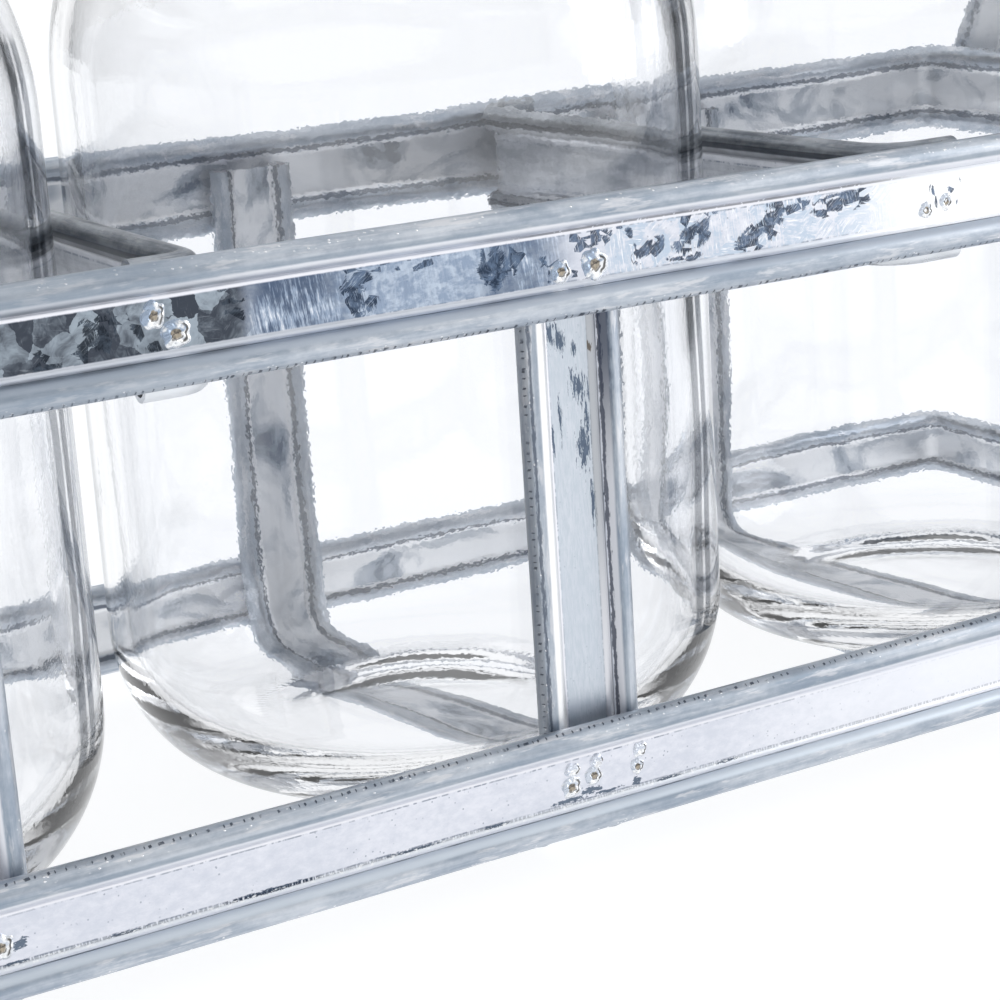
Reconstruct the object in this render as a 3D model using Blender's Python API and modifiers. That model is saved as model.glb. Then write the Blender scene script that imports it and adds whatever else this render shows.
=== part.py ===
"""Galvanised strap caddy that holds three clear glass jars in a row.

The whole frame is one kind of stock: a steel strip whose two long edges are rolled over to one
side, with the web between them set a little off the rolls' back, so that the rolls stand proud of
it on both sides. Two hoops of it are the upper and lower bands. Three U-shaped straps stand inside
them and pass under the jars, two dividers part the bays, and a handle of two legs and a grip rises
at each end. Units are metres, +Z is up, the origin is on the ground under the frame's centre, and
X runs along the row of jars.
"""

import math

import bmesh
import bpy
from mathutils import Matrix, Vector

# Strip stock
STRIP_WIDTH = 0.018
SHEET = 0.0008
ROLL_DIAMETER = 0.0045
ROLL_FACETS = 8
WEB_INSET = 0.0012
WEB_STEP_RUN = 0.0008
SEAT_GAP = 0.0003

# Jars
JAR_DIAMETER = 0.1084
JAR_HEIGHT = 0.170
JAR_BODY_HEIGHT = 0.120
JAR_WALL = 0.0034
JAR_FLOOR = 0.0072
JAR_PUNT = 0.0022
JAR_BEARING_WIDTH = 0.005
JAR_HEEL_WIDTH = 0.0225
JAR_HEEL_HEIGHT = 0.0265
JAR_SHOULDER_RADIUS = 0.050
JAR_NECK_DIAMETER = 0.076
JAR_NECK_FILLET = 0.008
JAR_RIM_RADIUS = 0.0032
JAR_TURN_STEPS = 32

# Play left round the jars, which stand forward in it
JAR_DEPTH_PLAY = 0.0017
JAR_SET_FORWARD = 0.0013
MIDDLE_BAY_PLAY = 0.0058
END_BAY_PLAY = 0.0004

# Bands
BAND_SPACING = 0.083
LOWER_BAND_LIFT = 0.0063
BAND_CORNER_RADIUS = 0.003

# Straps under the jars: they and the middle jar stand a little to the right, the right one is set in
ROW_SHIFT = 0.0008
END_STRAP_INSET = 0.013
RIGHT_STRAP_SLIP = 0.005
STRAP_BEND_RADIUS = 0.008
STRAP_TOP_SETBACK = 0.006

# Dividers, of wider strip: both stand a little to the right, and the right one is skewed
DIVIDER_WIDTH = 0.0204
DIVIDER_SHIFT = 0.0018
DIVIDER_SKEW = 0.004
DIVIDER_TAB = 0.0115
DIVIDER_BEND_RADIUS = 0.0052

# Handles
HANDLE_RISE = 0.036
HANDLE_TILT = math.radians(31)
HANDLE_FOOT_INSET = 0.014
HANDLE_FOOT_LAP = 0.0115
HANDLE_TOP_SETBACK = 0.0006

# Places worked out from the sizes above
SKIN = SHEET / 2
ROLL_CENTRE_RADIUS = (ROLL_DIAMETER - SHEET) / 2
CREST = 2 * ROLL_CENTRE_RADIUS + SKIN
JAR_RADIUS = JAR_DIAMETER / 2
STRAP_Y = JAR_RADIUS + JAR_DEPTH_PLAY + SKIN
BAND_Y = STRAP_Y + CREST + SEAT_GAP + SKIN
JAR_Y = -JAR_SET_FORWARD
DIVIDER_X = JAR_RADIUS + MIDDLE_BAY_PLAY
END_JAR_X = DIVIDER_X + DIVIDER_SHIFT + SKIN + END_BAY_PLAY + JAR_RADIUS
BAND_X = END_JAR_X + JAR_RADIUS + END_BAY_PLAY + SKIN
STRAP_PITCH = END_JAR_X - END_STRAP_INSET
LOWER_BAND_Z = LOWER_BAND_LIFT + STRIP_WIDTH / 2
UPPER_BAND_Z = LOWER_BAND_Z + BAND_SPACING
UPPER_BAND_TOP = UPPER_BAND_Z + STRIP_WIDTH / 2
DIVIDER_Z = UPPER_BAND_TOP - DIVIDER_WIDTH / 2
STRAP_Z = CREST
JAR_Z = STRAP_Z + SKIN + SEAT_GAP
LEG_X = BAND_X + CREST + SEAT_GAP + SKIN
LEG_FOOT_Y = BAND_Y + SKIN - HANDLE_FOOT_INSET
LEG_TOP_Z = UPPER_BAND_TOP + HANDLE_RISE + STRIP_WIDTH / 2 - HANDLE_TOP_SETBACK
GRIP_X = LEG_X + CREST + SEAT_GAP + SKIN
GRIP_Z = UPPER_BAND_TOP + HANDLE_RISE

ZINC = (0.60, 0.65, 0.71)
GLASS = (0.93, 0.96, 0.96)


def clear_scene():
    for obj in list(bpy.data.objects):
        bpy.data.objects.remove(obj, do_unlink=True)


def new_collection(name):
    collection = bpy.data.collections.new(name)
    bpy.context.scene.collection.children.link(collection)
    return collection


def new_material(name, colour, roughness, metallic, transmission=0.0):
    material = bpy.data.materials.new(name)
    material.use_nodes = True
    shader = material.node_tree.nodes["Principled BSDF"]
    shader.inputs["Base Color"].default_value = (*colour, 1.0)
    shader.inputs["Roughness"].default_value = roughness
    shader.inputs["Metallic"].default_value = metallic
    shader.inputs["Transmission Weight"].default_value = transmission
    return material


def link_object(name, data, collection, material=None):
    obj = bpy.data.objects.new(name, data)
    collection.objects.link(obj)
    if material:
        data.materials.append(material)
    return obj


def arc(centre, radii, start, end, steps):
    """Points on an upright ellipse's arc, from one angle to another in degrees."""
    points = []
    for step in range(steps + 1):
        angle = math.radians(start + (end - start) * step / steps)
        reach = Vector((radii[0] * math.cos(angle), radii[1] * math.sin(angle)))
        points.append(Vector(centre) + reach)
    return points


def rounded_corner(before, corner, after, radius, steps):
    """Points of the arc that rounds one corner of a path."""
    arriving = (corner - before).normalized()
    turn = arriving.angle_signed(after - corner)
    inward = Vector((arriving.y, -arriving.x)) * math.copysign(1, turn)
    reach = radius * math.tan(abs(turn) / 2)
    points = []
    for step in range(steps + 1):
        part = abs(turn) * step / steps
        ahead = radius * math.sin(part) - reach
        aside = radius * (1 - math.cos(part))
        points.append(corner + arriving * ahead + inward * aside)
    return points


def rounded_path(corners, radius, steps):
    """A path from the first corner to the last, with each corner between them rounded off."""
    corners = [Vector(corner) for corner in corners]
    points = [corners[0]]
    for before, corner, after in zip(corners, corners[1:], corners[2:]):
        points += rounded_corner(before, corner, after, radius, steps)
    points.append(corners[-1])
    return points


def roll_line(width):
    """Middle line of the sheet from the web round one rolled edge.

    x is out from the back of the rolls, y is across the strip. The roll is a polygon round the true
    circle with a facet square to each of the two directions, and it stops short of closing on the web.
    """
    centre = Vector((ROLL_CENTRE_RADIUS, width / 2 - ROLL_DIAMETER / 2))
    half_facet = math.pi / ROLL_FACETS
    reach = ROLL_CENTRE_RADIUS / math.cos(half_facet)
    points = [Vector((WEB_INSET, centre.y - ROLL_CENTRE_RADIUS - WEB_STEP_RUN))]
    for corner in range(ROLL_FACETS - 1):
        turn = half_facet * (2 * corner - 1)
        points.append(centre + Vector((-reach * math.cos(turn), reach * math.sin(turn))))
    return points


def thickened(line, thickness):
    """The outline of a sheet that follows an open line, with mitred corners and square ends."""
    left = []
    right = []
    for index, point in enumerate(line):
        before = line[max(index - 1, 0)]
        after = line[min(index + 1, len(line) - 1)]
        leaving = (after - point if index < len(line) - 1 else point - before).normalized()
        arriving = (point - before if index else after - point).normalized()
        mitre = (arriving + leaving).normalized()
        aside = Vector((-mitre.y, mitre.x)) * thickness / 2 / mitre.dot(arriving)
        left.append(point + aside)
        right.append(point - aside)
    return left + right[::-1]


def strip_outline(width):
    """The strip's section: a web whose edges are both rolled over towards +x."""
    upper = roll_line(width)
    lower = [Vector((point.x, -point.y)) for point in upper]
    return thickened(lower[::-1] + upper, SHEET)


def flat_curve(name, points, collection, closed=False):
    curve = bpy.data.curves.new(name, "CURVE")
    curve.dimensions = "2D"
    curve.fill_mode = "NONE"
    spline = curve.splines.new("POLY")
    spline.points.add(len(points) - 1)
    for spot, point in zip(spline.points, points):
        spot.co = (point.x, point.y, 0.0, 1.0)
    spline.use_cyclic_u = closed
    return link_object(name, curve, collection)


def weld_mesh(mesh):
    """Join a swept mesh's loose seams and turn every face outward."""
    work = bmesh.new()
    work.from_mesh(mesh)
    bmesh.ops.remove_doubles(work, verts=work.verts, dist=0.00001)
    bmesh.ops.recalc_face_normals(work, faces=work.faces)
    work.to_mesh(mesh)
    work.free()
    mesh.shade_smooth()
    mesh.set_sharp_from_angle(angle=math.radians(50))


def place_on(along, across, origin):
    """Put a flat path's X along one direction and the strip's width along another."""
    along = Vector(along)
    across = Vector(across)
    turn = Matrix((along, across.cross(along), across)).transposed().to_4x4()
    return Matrix.Translation(origin) @ turn


def sweep_strip(name, path, place, kit, hoop=False, width=STRIP_WIDTH):
    """Sweep the strip along a flat path with its rolls on the right; a hoop's ends are joined."""
    section = flat_curve(name + "_section", strip_outline(width), kit["guides"], closed=True)
    guide = flat_curve(name + "_path", path, kit["guides"])
    guide.data.bevel_mode = "OBJECT"
    guide.data.bevel_object = section
    guide.data.use_fill_caps = not hoop
    graph = bpy.context.evaluated_depsgraph_get()
    mesh = bpy.data.meshes.new_from_object(guide.evaluated_get(graph))
    mesh.name = name
    for helper in (guide, section):
        bpy.data.objects.remove(helper, do_unlink=True)
    weld_mesh(mesh)
    mesh.transform(place)
    mesh.materials.clear()
    return link_object(name, mesh, kit["parts"], kit["zinc"])


def build_band(name, height, kit):
    """One hoop of strip, run anticlockwise from above so that its rolls face outward."""
    corners = [(0, BAND_Y), (-BAND_X, BAND_Y), (-BAND_X, -BAND_Y), (BAND_X, -BAND_Y),
               (BAND_X, BAND_Y), (0, BAND_Y)]
    path = rounded_path(corners, BAND_CORNER_RADIUS, 3)
    place = place_on((1, 0, 0), (0, 0, 1), (0, 0, height))
    return sweep_strip(name, path, place, kit, hoop=True)


def build_strap(name, x, kit):
    """A U of strip: down the front, under the jar and up the back, with its rolls outward."""
    top = UPPER_BAND_TOP - STRAP_TOP_SETBACK
    corners = [(-STRAP_Y, top), (-STRAP_Y, STRAP_Z), (STRAP_Y, STRAP_Z), (STRAP_Y, top)]
    path = rounded_path(corners, STRAP_BEND_RADIUS, 3)
    place = place_on((0, 1, 0), (1, 0, 0), (x, 0, 0))
    return sweep_strip(name, path, place, kit)


def build_divider(name, side, skew, kit):
    """Strip on edge across the caddy, with a tab at each end turned away from the middle jar.

    The rolls face -X on both dividers. So the left one's tabs seat on their flat backs, and the
    right one's tabs seat on their rolls.
    """
    seat = CREST if side > 0 else SKIN
    y = BAND_Y - SKIN - SEAT_GAP - seat
    tab = side * DIVIDER_TAB
    corners = [(tab - skew, y), (-skew, y), (skew, -y), (tab + skew, -y)]
    path = rounded_path(corners, DIVIDER_BEND_RADIUS, 3)
    place = place_on((1, 0, 0), (0, 0, 1), (side * DIVIDER_X + DIVIDER_SHIFT, 0, DIVIDER_Z))
    return sweep_strip(name, path, place, kit, width=DIVIDER_WIDTH)


def cut_square(obj, low, high, kit):
    """Cut a slanting piece off level at two heights."""
    mesh = bpy.data.meshes.new(obj.name + "_slab")
    work = bmesh.new()
    bmesh.ops.create_cube(work, size=1.0)
    work.to_mesh(mesh)
    work.free()
    slab = link_object(obj.name + "_slab", mesh, kit["cutters"])
    slab.scale = (3 * BAND_X, 3 * BAND_X, high - low)
    slab.location = (0, 0, (low + high) / 2)
    slab.hide_render = True
    slab.display_type = "WIRE"
    cut = obj.modifiers.new("cut_square", "BOOLEAN")
    cut.operation = "INTERSECT"
    cut.solver = "EXACT"
    cut.object = slab


def build_leg(name, end, side, kit):
    """A leg at one corner: it stands outside the upper band's end and leans in to the grip."""
    lean = (0, -side * math.sin(HANDLE_TILT), math.cos(HANDLE_TILT))
    across = Vector((0, math.cos(HANDLE_TILT), side * math.sin(HANDLE_TILT))) * -end
    path = [Vector((-2 * HANDLE_RISE, 0)), Vector((3 * HANDLE_RISE, 0))]
    place = place_on(lean, across, (end * LEG_X, side * LEG_FOOT_Y, UPPER_BAND_TOP))
    leg = sweep_strip(name, path, place, kit)
    cut_square(leg, UPPER_BAND_TOP - HANDLE_FOOT_LAP, LEG_TOP_Z, kit)
    return leg


def build_grip(name, end, kit):
    """The level strip across two legs, laid over their rolls to leave room for fingers."""
    leg_edge = STRIP_WIDTH / 2 / math.cos(HANDLE_TILT) - HANDLE_RISE * math.tan(HANDLE_TILT)
    half = LEG_FOOT_Y + leg_edge
    path = [Vector((-half, 0)), Vector((half, 0))]
    place = place_on((0, end, 0), (0, 0, 1), (end * GRIP_X, 0, GRIP_Z))
    return sweep_strip(name, path, place, kit)


def jar_profile():
    """Half section of a jar, from the inside of its floor up over the rim and down the outside."""
    neck = JAR_NECK_DIAMETER / 2
    shoulder = Vector((JAR_RADIUS - JAR_SHOULDER_RADIUS, JAR_BODY_HEIGHT))
    run = neck + JAR_NECK_FILLET - shoulder.x
    rise = math.sqrt((JAR_SHOULDER_RADIUS + JAR_NECK_FILLET) ** 2 - run ** 2)
    slope = math.degrees(math.atan2(rise, run))
    fillet = shoulder + Vector((run, rise))
    heel = Vector((JAR_RADIUS - JAR_HEEL_WIDTH, JAR_HEEL_HEIGHT))
    rim = Vector((neck - JAR_WALL + JAR_RIM_RADIUS, JAR_HEIGHT - JAR_RIM_RADIUS))
    tuck = math.degrees(math.acos((neck - rim.x) / JAR_RIM_RADIUS))
    inner_heel = (JAR_HEEL_WIDTH - JAR_WALL, JAR_HEEL_HEIGHT - JAR_FLOOR)
    inner_shoulder = (JAR_SHOULDER_RADIUS - JAR_WALL,) * 2
    inner_fillet = (JAR_NECK_FILLET + JAR_WALL,) * 2
    points = [Vector((0, JAR_FLOOR))]
    points += arc(heel, inner_heel, -90, 0, 4)
    points += arc(shoulder, inner_shoulder, 0, slope, 3)
    points += arc(fillet, inner_fillet, 180 + slope, 180, 1)[1:]
    points += arc(rim, (JAR_RIM_RADIUS,) * 2, 180, 90, 2)
    points += arc(rim, (JAR_RIM_RADIUS,) * 2, 90, -tuck, 3)[1:]
    points += arc(fillet, (JAR_NECK_FILLET,) * 2, 180, 180 + slope, 1)[:-1]
    points += arc(shoulder, (JAR_SHOULDER_RADIUS,) * 2, slope, 0, 4)
    points += arc(heel, (JAR_HEEL_WIDTH, JAR_HEEL_HEIGHT), 0, -90, 5)
    points += [Vector((heel.x - JAR_BEARING_WIDTH, 0)), Vector((0, JAR_PUNT))]
    return points


def build_jar(name, x, kit):
    """A jar turned about its own axis: one open-topped body of glass."""
    points = jar_profile()
    edges = [(index, index + 1) for index in range(len(points) - 1)]
    mesh = bpy.data.meshes.new(name)
    mesh.from_pydata([(point.x, 0, point.y) for point in points], edges, [])
    jar = link_object(name, mesh, kit["parts"], kit["glass"])
    jar.location = (x, JAR_Y, JAR_Z)
    turn = jar.modifiers.new("turn", "SCREW")
    turn.axis = "Z"
    turn.steps = JAR_TURN_STEPS
    turn.render_steps = JAR_TURN_STEPS
    turn.use_merge_vertices = True
    turn.merge_threshold = 0.00001
    turn.use_smooth_shade = True
    return jar


def build_caddy():
    clear_scene()
    kit = {
        "parts": new_collection("glass_jar_caddy"),
        "cutters": new_collection("cutters"),
        "guides": new_collection("guides"),
        "zinc": new_material("galvanised_steel", ZINC, 0.38, 1.0),
        "glass": new_material("clear_glass", GLASS, 0.02, 0.0, 1.0),
    }
    build_band("upper_band", UPPER_BAND_Z, kit)
    build_band("lower_band", LOWER_BAND_Z, kit)
    build_strap("strap_left", ROW_SHIFT - STRAP_PITCH, kit)
    build_strap("strap_middle", ROW_SHIFT, kit)
    build_strap("strap_right", ROW_SHIFT + STRAP_PITCH - RIGHT_STRAP_SLIP, kit)
    build_divider("divider_left", -1, 0.0, kit)
    build_divider("divider_right", 1, DIVIDER_SKEW, kit)
    for end_name, end in (("left", -1), ("right", 1)):
        build_leg(f"handle_{end_name}_front_leg", end, -1, kit)
        build_leg(f"handle_{end_name}_back_leg", end, 1, kit)
        build_grip(f"handle_{end_name}_grip", end, kit)
    build_jar("jar_left", -END_JAR_X, kit)
    build_jar("jar_middle", ROW_SHIFT, kit)
    build_jar("jar_right", END_JAR_X, kit)


build_caddy()
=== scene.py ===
"""Looks of the strap caddy with its three glass jars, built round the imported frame."""
import math

import bmesh
import bpy
from mathutils import Matrix, Vector, noise


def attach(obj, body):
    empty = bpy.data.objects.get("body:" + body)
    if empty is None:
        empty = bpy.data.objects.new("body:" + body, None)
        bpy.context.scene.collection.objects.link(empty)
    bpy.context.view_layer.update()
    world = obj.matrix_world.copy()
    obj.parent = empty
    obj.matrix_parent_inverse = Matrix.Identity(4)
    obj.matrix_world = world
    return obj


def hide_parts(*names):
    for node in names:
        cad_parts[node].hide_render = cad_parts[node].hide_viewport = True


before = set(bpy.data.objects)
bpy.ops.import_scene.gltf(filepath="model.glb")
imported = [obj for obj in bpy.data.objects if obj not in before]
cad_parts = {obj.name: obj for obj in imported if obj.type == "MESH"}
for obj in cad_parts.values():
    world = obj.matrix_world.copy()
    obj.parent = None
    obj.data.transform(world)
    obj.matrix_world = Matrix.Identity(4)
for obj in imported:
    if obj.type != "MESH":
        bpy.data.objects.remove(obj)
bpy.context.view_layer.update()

MM = 0.001

# Strip stock, as in the frame
STRIP_WIDTH = 0.018
DIVIDER_WIDTH = 0.0204
SHEET = 0.0008
ROLL_DIAMETER = 0.0045
WEB_INSET = 0.0012
SKIN = SHEET / 2
ROLL_R = (ROLL_DIAMETER - SHEET) / 2
CREST = 2 * ROLL_R + SKIN
ROLL_V = STRIP_WIDTH / 2 - ROLL_DIAMETER / 2
SEAT_GAP = 0.0003

# v on the section: on the back and the rolls it counts from 0, on the web's front and in the curls from
# FRONT_V, and BACK_ENDS lies between the two
FRONT_V = 0.1
BACK_ENDS = (0.05, 0.06)

# Places, as in the frame
STRAP_Y = 0.0563
BAND_Y = 0.0611
BAND_X = 0.1718
LOWER_BAND_Z = 0.0153
UPPER_BAND_Z = 0.0983
UPPER_BAND_TOP = 0.1073
STRAP_Z = CREST
STRAP_XS = (-0.1030, 0.0008, 0.0996)
JAR_XS = (-0.1168, 0.0008, 0.1168)
JAR_Y = -0.0013
JAR_Z = 0.0048
LEG_X = 0.1766
LEG_FOOT_Y = 0.0475
GRIP_X = 0.1814
GRIP_Z = 0.1433
TILT = math.radians(31)
LEG_LAP = 0.0115
LEG_TOP = GRIP_Z + 0.0084
HANDLE_RISE = 0.036
DIVIDER_X = 0.060
DIVIDER_SHIFT = 0.0018
DIVIDER_TAB = 0.0115
DIVIDER_SKEW = 0.004
DIVIDER_Z = UPPER_BAND_TOP - DIVIDER_WIDTH / 2
STRAP_TOP = UPPER_BAND_TOP - 0.006

# Bend radii, the longest step along a strip, the angle over which an edge is sharp, and how far apart the
# pieces' u values start for each whole seed
BAND_BEND = 0.003
STRAP_BEND = 0.008
DIVIDER_BEND = 0.0052
PATH_STEP = 0.004
SHARP = math.radians(42)
APART = 3.1


class Nodes:
    """Short names for the shader nodes that the materials and the world here need."""

    def __init__(self, owner):
        owner.use_nodes = True
        self.tree = owner.node_tree
        self.tree.nodes.clear()
        places = self.new("ShaderNodeTexCoord").outputs
        self.uv, self.object, self.generated = places["UV"], places["Object"], places["Generated"]

    def new(self, kind, **settings):
        node = self.tree.nodes.new(kind)
        for key, value in settings.items():
            setattr(node, key, value)
        return node

    def put(self, socket, value):
        if isinstance(value, bpy.types.NodeSocket):
            self.tree.links.new(value, socket)
        elif isinstance(value, tuple) and len(value) == 3 and socket.type == "RGBA":
            socket.default_value = (*value, 1.0)
        else:
            socket.default_value = value

    def math(self, operation, a, b=0.0):
        node = self.new("ShaderNodeMath", operation=operation)
        self.put(node.inputs[0], a)
        self.put(node.inputs[1], b)
        return node.outputs[0]

    def add(self, a, b):
        return self.math("ADD", a, b)

    def mul(self, a, b):
        return self.math("MULTIPLY", a, b)

    def most(self, a, b):
        return self.math("MAXIMUM", a, b)

    def abs(self, value):
        return self.math("ABSOLUTE", value)

    def swing(self, value, reach):
        """A value from 0 to 1, centred on 0 and scaled, for moving an edge to and fro."""
        return self.mul(self.math("SUBTRACT", value, 0.5), reach)

    def ramp(self, value, low, high, to_low=0.0, to_high=1.0):
        node = self.new("ShaderNodeMapRange", interpolation_type="SMOOTHSTEP")
        for socket, item in zip(node.inputs, (value, low, high, to_low, to_high)):
            self.put(socket, item)
        return node.outputs[0]

    def near(self, value, centre, half, soft):
        """1 near a value and 0 away from it."""
        away = self.abs(self.math("SUBTRACT", value, centre))
        return self.ramp(away, half, half + soft, 1.0, 0.0)

    def scaled(self, vector, scale, offset=(0.0, 0.0, 0.0), turn=0.0):
        node = self.new("ShaderNodeMapping")
        self.put(node.inputs["Vector"], vector)
        node.inputs["Scale"].default_value = scale
        node.inputs["Location"].default_value = offset
        node.inputs["Rotation"].default_value = (0.0, 0.0, turn)
        return node.outputs[0]

    def noise(self, vector, scale, detail, rough, distortion=0.0):
        node = self.new("ShaderNodeTexNoise")
        self.put(node.inputs["Vector"], vector)
        node.inputs["Scale"].default_value = scale
        node.inputs["Detail"].default_value = detail
        node.inputs["Roughness"].default_value = rough
        node.inputs["Distortion"].default_value = distortion
        return node.outputs["Fac"]

    def cells(self, vector, scale, output="Color"):
        node = self.new("ShaderNodeTexVoronoi")
        self.put(node.inputs["Vector"], vector)
        node.inputs["Scale"].default_value = scale
        return node.outputs[output]

    def warped(self, vector, scale, reach):
        """A place on the strip, moved about by cloudy noise."""
        cloud = self.new("ShaderNodeTexNoise")
        self.put(cloud.inputs["Vector"], vector)
        cloud.inputs["Scale"].default_value = scale
        cloud.inputs["Detail"].default_value = 3
        node = self.new("ShaderNodeVectorMath", operation="MULTIPLY_ADD")
        self.put(node.inputs[0], cloud.outputs["Color"])
        node.inputs[1].default_value = (reach, reach, 0.0)
        self.put(node.inputs[2], vector)
        return node.outputs[0]

    def inside(self, vector, patches):
        """1 at the centre of the nearest elliptic patch and 0 at its edge; patches are in millimetres."""
        found = None
        for x, y, half_x, half_y, turn in patches:
            node = self.new("ShaderNodeMapping", vector_type="TEXTURE")
            self.put(node.inputs["Vector"], vector)
            node.inputs["Location"].default_value = (x * MM, y * MM, 0.0)
            node.inputs["Rotation"].default_value = (0.0, 0.0, math.radians(turn))
            node.inputs["Scale"].default_value = (half_x * MM, half_y * MM, 1.0)
            length = self.new("ShaderNodeVectorMath", operation="LENGTH")
            self.put(length.inputs[0], node.outputs[0])
            level = self.math("SUBTRACT", 1.0, length.outputs["Value"])
            found = level if found is None else self.most(found, level)
        return found

    def mix(self, factor, a, b):
        """A mixed colour; sockets 0, 6 and 7 and output 2 are the colour mix's own."""
        node = self.new("ShaderNodeMix", data_type="RGBA")
        self.put(node.inputs[0], factor)
        self.put(node.inputs[6], a)
        self.put(node.inputs[7], b)
        return node.outputs[2]

    def split(self, vector):
        node = self.new("ShaderNodeSeparateXYZ")
        self.put(node.inputs[0], vector)
        return node.outputs

    def join(self, x, y, z=0.0):
        node = self.new("ShaderNodeCombineXYZ")
        for socket, value in zip(node.inputs, (x, y, z)):
            self.put(socket, value)
        return node.outputs[0]

    def bump(self, height, distance, strength):
        node = self.new("ShaderNodeBump")
        node.inputs["Strength"].default_value = strength
        node.inputs["Distance"].default_value = distance
        self.put(node.inputs["Height"], height)
        return node.outputs[0]

    def finish(self, **inputs):
        shader = self.new("ShaderNodeBsdfPrincipled")
        for key, value in inputs.items():
            self.put(shader.inputs[key.replace("_", " ")], value)
        output = self.new("ShaderNodeOutputMaterial")
        self.tree.links.new(shader.outputs[0], output.inputs[0])


# Galvanised metal

# y where the photographed side starts, x where the upper band's steel-dark end stops, and where a fillet
# starts on the front
PHOTO_SIDE = (-0.050, -0.055)
STEEL_END = (-0.056, -0.051)
FILLET = 0.00345

# Tones that come back, all painted light: glints on specks and lines, a painted reflection on the rolls'
# inner turn, and a painted highlight on the fillets
GLINT = (0.95, 0.96, 0.98)
CURL_REFLECTION = (0.90, 0.905, 0.945)
FILLET_HIGHLIGHT = (0.92, 0.915, 0.95)


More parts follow.
